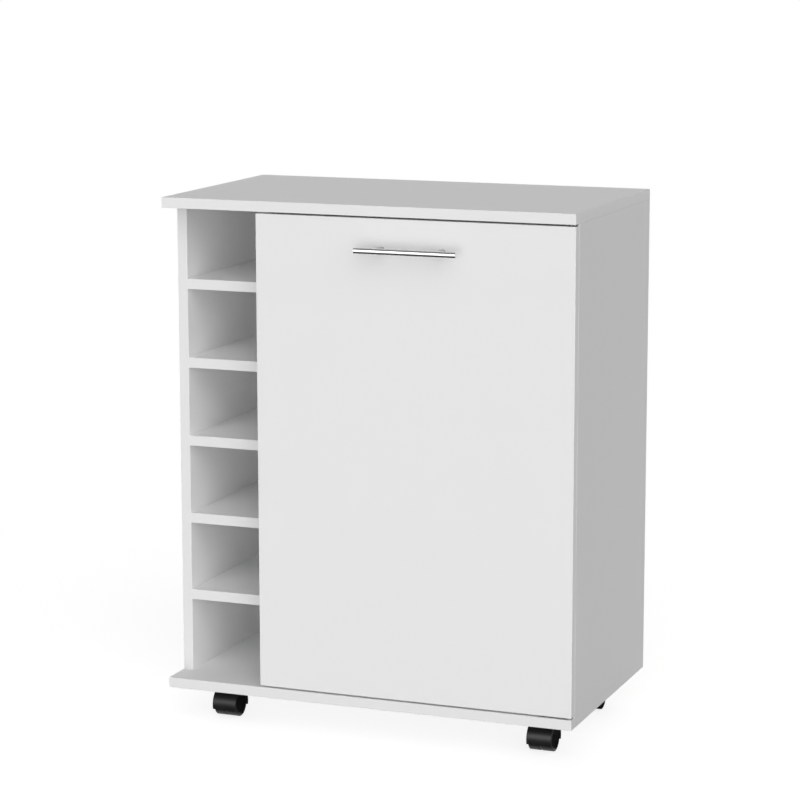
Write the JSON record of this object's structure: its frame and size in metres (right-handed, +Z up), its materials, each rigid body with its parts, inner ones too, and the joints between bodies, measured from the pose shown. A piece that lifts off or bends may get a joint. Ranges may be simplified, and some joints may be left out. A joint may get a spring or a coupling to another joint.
{
  "type": "bar cart",
  "caption": "White board bar cart with an open bottle rack, a side-hung cabinet door with a bar handle, and swivelling twin-wheel casters.",
  "frame": {"origin": "on the floor, under the middle of the cart's overall box, handle included", "axes": "+Z up, the door and handle face -Y, +X to the right as seen from the front"},
  "size_m": [0.66, 0.4144, 0.829],
  "materials": {
    "white_board": "white melamine-faced particle board, fine satin texture",
    "edge_band": "white edge band, satin",
    "back_board": "white-faced hardboard",
    "dowel_wood": "fluted beech dowel, raw",
    "handle_steel": "brushed bright steel",
    "post_steel": "satin steel, a shade darker than the bar",
    "zinc_steel": "zinc-plated steel",
    "hinge_white": "steel with a baked white coat",
    "hood_plastic": "black moulded plastic, satin",
    "wheel_plastic": "black moulded nylon",
    "catch_plastic": "white moulded plastic",
    "magnet": "dark ferrite magnet",
    "bumper": "clear soft bumper",
    "washer_nylon": "grey nylon"
  },
  "bodies": {
    "carcass": {"back_panel": "back_board", "back_panel_nails": "zinc_steel", "base_board": "white_board", "base_screws": "zinc_steel", "cabinet_shelf": "white_board", "cam_bolts": "zinc_steel", "cam_locks": "zinc_steel", "carcass_edge_bands": "edge_band", "carcass_wood_screws": "hinge_white", "caster_kingpins": "zinc_steel", "caster_plates": "zinc_steel", "caster_screws": "zinc_steel", "catch_housing": "catch_plastic", "catch_magnet": "magnet", "catch_screws": "zinc_steel", "divider_panel": "white_board", "door_bumpers": "bumper", "hinge_bottom_plate": "hinge_white", "hinge_pins": "zinc_steel", "hinge_top_plate": "hinge_white", "hinge_washer": "washer_nylon", "left_side_panel": "white_board", "rack_shelf_1": "white_board", "rack_shelf_2": "white_board", "rack_shelf_3": "white_board", "rack_shelf_4": "white_board", "rack_shelf_5": "white_board", "rack_shelf_dowels": "dowel_wood", "right_side_panel": "white_board", "shelf_pins": "zinc_steel", "top_board": "white_board", "top_dowels": "dowel_wood"},
    "door": {"door_panel": "white_board", "door_edge_bands": "edge_band", "door_wood_screws": "hinge_white", "hinge_door_top_plate": "hinge_white", "hinge_door_bottom_plate": "hinge_white", "handle_bar": "handle_steel", "handle_posts": "post_steel", "handle_screws": "zinc_steel", "catch_strike": "zinc_steel"},
    "caster_front_left": {"caster_hood_front_left": "hood_plastic", "caster_axle_front_left": "zinc_steel"},
    "wheel_front_left_left": {"caster_wheel_front_left_left": "wheel_plastic"},
    "wheel_front_left_right": {"caster_wheel_front_left_right": "wheel_plastic"},
    "caster_front_right": {"caster_hood_front_right": "hood_plastic", "caster_axle_front_right": "zinc_steel"},
    "wheel_front_right_left": {"caster_wheel_front_right_left": "wheel_plastic"},
    "wheel_front_right_right": {"caster_wheel_front_right_right": "wheel_plastic"},
    "caster_rear_left": {"caster_hood_rear_left": "hood_plastic", "caster_axle_rear_left": "zinc_steel"},
    "wheel_rear_left_left": {"caster_wheel_rear_left_left": "wheel_plastic"},
    "wheel_rear_left_right": {"caster_wheel_rear_left_right": "wheel_plastic"},
    "caster_rear_right": {"caster_hood_rear_right": "hood_plastic", "caster_axle_rear_right": "zinc_steel"},
    "wheel_rear_right_left": {"caster_wheel_rear_right_left": "wheel_plastic"},
    "wheel_rear_right_right": {"caster_wheel_rear_right_right": "wheel_plastic"}
  },
  "joints": [
    {"name": "door_hinge", "type": "hinge", "parent": "carcass", "child": "door", "pos_m": [0.326, -0.16675, 0.444], "axis": [0, 0, 1], "range_deg": [0, 104]},
    {"name": "caster_front_left_swivel", "type": "hinge", "parent": "carcass", "child": "caster_front_left", "pos_m": [-0.2615, -0.10225, 0.059], "axis": [0, 0, 1], "continuous": true},
    {"name": "wheel_front_left_left_spin", "type": "hinge", "parent": "caster_front_left", "child": "wheel_front_left_left", "pos_m": [-0.2718, -0.09225, 0.02], "axis": [1, 0, 0], "continuous": true},
    {"name": "wheel_front_left_right_spin", "type": "hinge", "parent": "caster_front_left", "child": "wheel_front_left_right", "pos_m": [-0.2512, -0.09225, 0.02], "axis": [1, 0, 0], "continuous": true},
    {"name": "caster_front_right_swivel", "type": "hinge", "parent": "carcass", "child": "caster_front_right", "pos_m": [0.2615, -0.10225, 0.059], "axis": [0, 0, 1], "continuous": true},
    {"name": "wheel_front_right_left_spin", "type": "hinge", "parent": "caster_front_right", "child": "wheel_front_right_left", "pos_m": [0.2512, -0.09225, 0.02], "axis": [1, 0, 0], "continuous": true},
    {"name": "wheel_front_right_right_spin", "type": "hinge", "parent": "caster_front_right", "child": "wheel_front_right_right", "pos_m": [0.2718, -0.09225, 0.02], "axis": [1, 0, 0], "continuous": true},
    {"name": "caster_rear_left_swivel", "type": "hinge", "parent": "carcass", "child": "caster_rear_left", "pos_m": [-0.2615, 0.13875, 0.059], "axis": [0, 0, 1], "continuous": true},
    {"name": "wheel_rear_left_left_spin", "type": "hinge", "parent": "caster_rear_left", "child": "wheel_rear_left_left", "pos_m": [-0.2718, 0.14875, 0.02], "axis": [1, 0, 0], "continuous": true},
    {"name": "wheel_rear_left_right_spin", "type": "hinge", "parent": "caster_rear_left", "child": "wheel_rear_left_right", "pos_m": [-0.2512, 0.14875, 0.02], "axis": [1, 0, 0], "continuous": true},
    {"name": "caster_rear_right_swivel", "type": "hinge", "parent": "carcass", "child": "caster_rear_right", "pos_m": [0.2615, 0.13875, 0.059], "axis": [0, 0, 1], "continuous": true},
    {"name": "wheel_rear_right_left_spin", "type": "hinge", "parent": "caster_rear_right", "child": "wheel_rear_right_left", "pos_m": [0.2512, 0.14875, 0.02], "axis": [1, 0, 0], "continuous": true},
    {"name": "wheel_rear_right_right_spin", "type": "hinge", "parent": "caster_rear_right", "child": "wheel_rear_right_right", "pos_m": [0.2718, 0.14875, 0.02], "axis": [1, 0, 0], "continuous": true}
  ]
}
